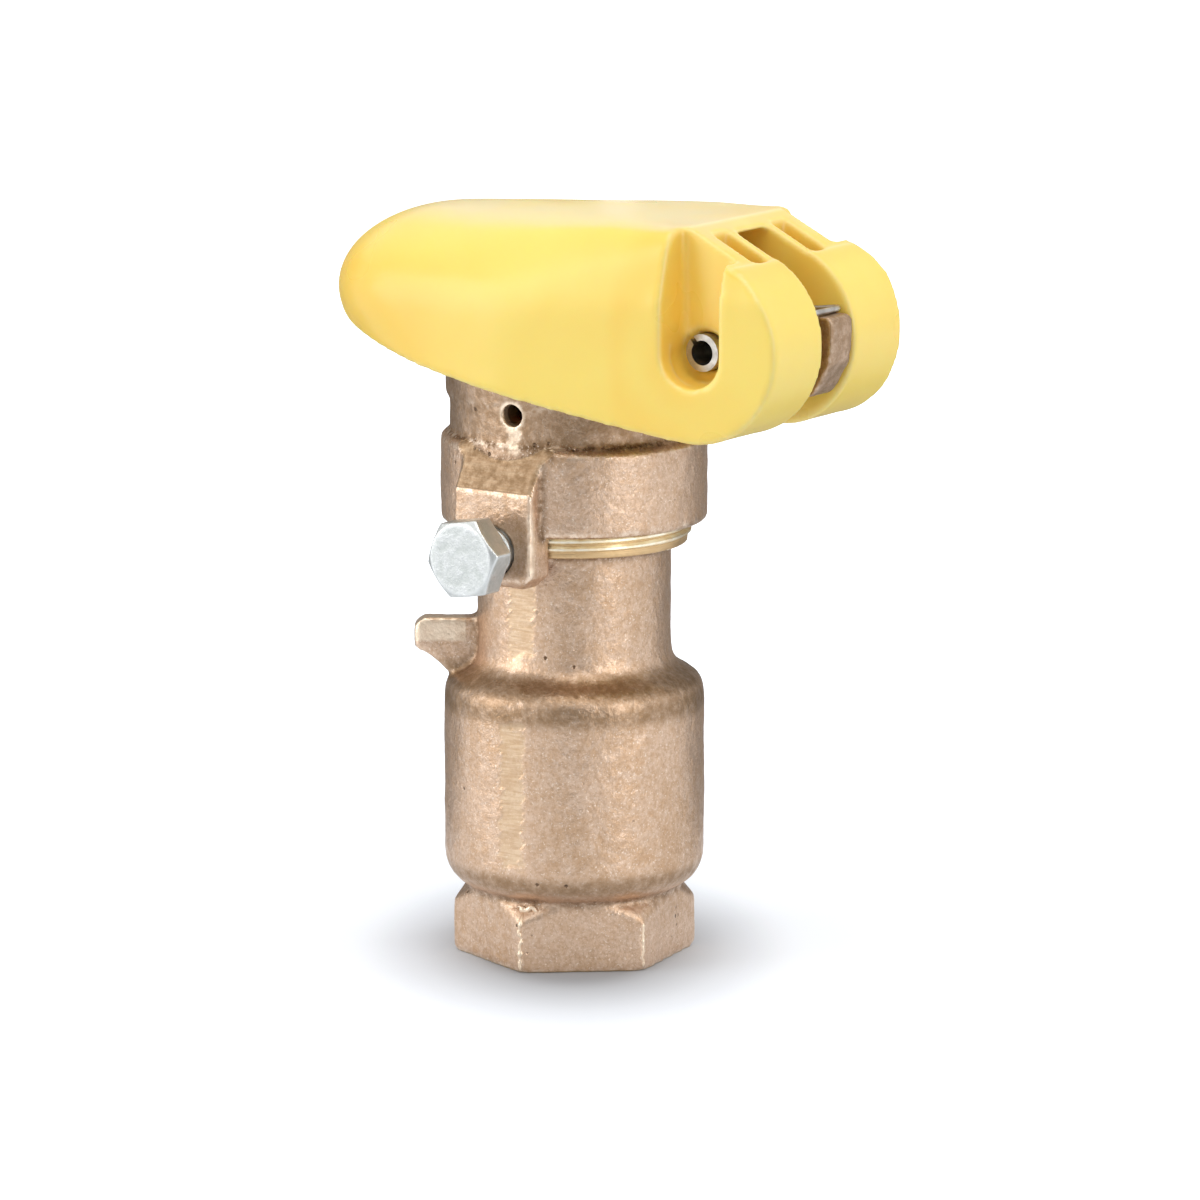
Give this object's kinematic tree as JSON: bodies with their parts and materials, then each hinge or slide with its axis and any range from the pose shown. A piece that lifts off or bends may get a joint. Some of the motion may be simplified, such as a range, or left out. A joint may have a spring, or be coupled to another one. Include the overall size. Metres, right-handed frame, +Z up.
{
  "type": "quick coupling valve",
  "caption": "Cast bronze quick coupling valve with a threaded hexagonal inlet, a sprung poppet, a lug-track key socket and a hinged, sprung plastic cover.",
  "frame": {"origin": "centre of the hexagonal base's lower face, on the inlet's axis", "axes": "+Z up along the valve's axis, towards the key socket; -X towards the cover's nose; +Y along the hinge pin"},
  "size_m": [0.1111, 0.0664, 0.1469],
  "materials": {
    "cast_bronze": "sand cast, lightly blasted, dull",
    "turned_brass": "turned",
    "plated_steel": "zinc plated",
    "spring_steel": "drawn, bright",
    "yellow_plastic": "moulded, half gloss",
    "black_rubber": "matt"
  },
  "bodies": {
    "body": {"lower_body": "cast_bronze", "upper_body": "cast_bronze", "lock_bolt": "plated_steel", "hinge_pin": "spring_steel", "cover_spring": "spring_steel", "key_seal": "black_rubber", "seal_washer": "turned_brass", "body_o_ring": "black_rubber", "spring_guide": "turned_brass", "snap_ring": "spring_steel", "valve_spring": "spring_steel"},
    "cover": {"cover": "yellow_plastic"},
    "poppet": {"poppet": "turned_brass", "disc_washer": "black_rubber", "disc_plate": "turned_brass", "disc_nut": "turned_brass"}
  },
  "joints": [
    {"name": "cover_hinge", "type": "hinge", "parent": "body", "child": "cover", "pos_m": [0.041, 0, 0.1236], "axis": [0, 1, 0], "range_deg": [0, 95], "stiffness_Nm_per_rad": 0.12, "springref_deg": -45.84},
    {"name": "valve_lift", "type": "slide", "parent": "body", "child": "poppet", "axis": [0, 0, -1], "range_m": [0, 0.01], "stiffness_N_per_m": 600, "springref_m": -0.012, "deforming": ["valve_spring"]}
  ]
}
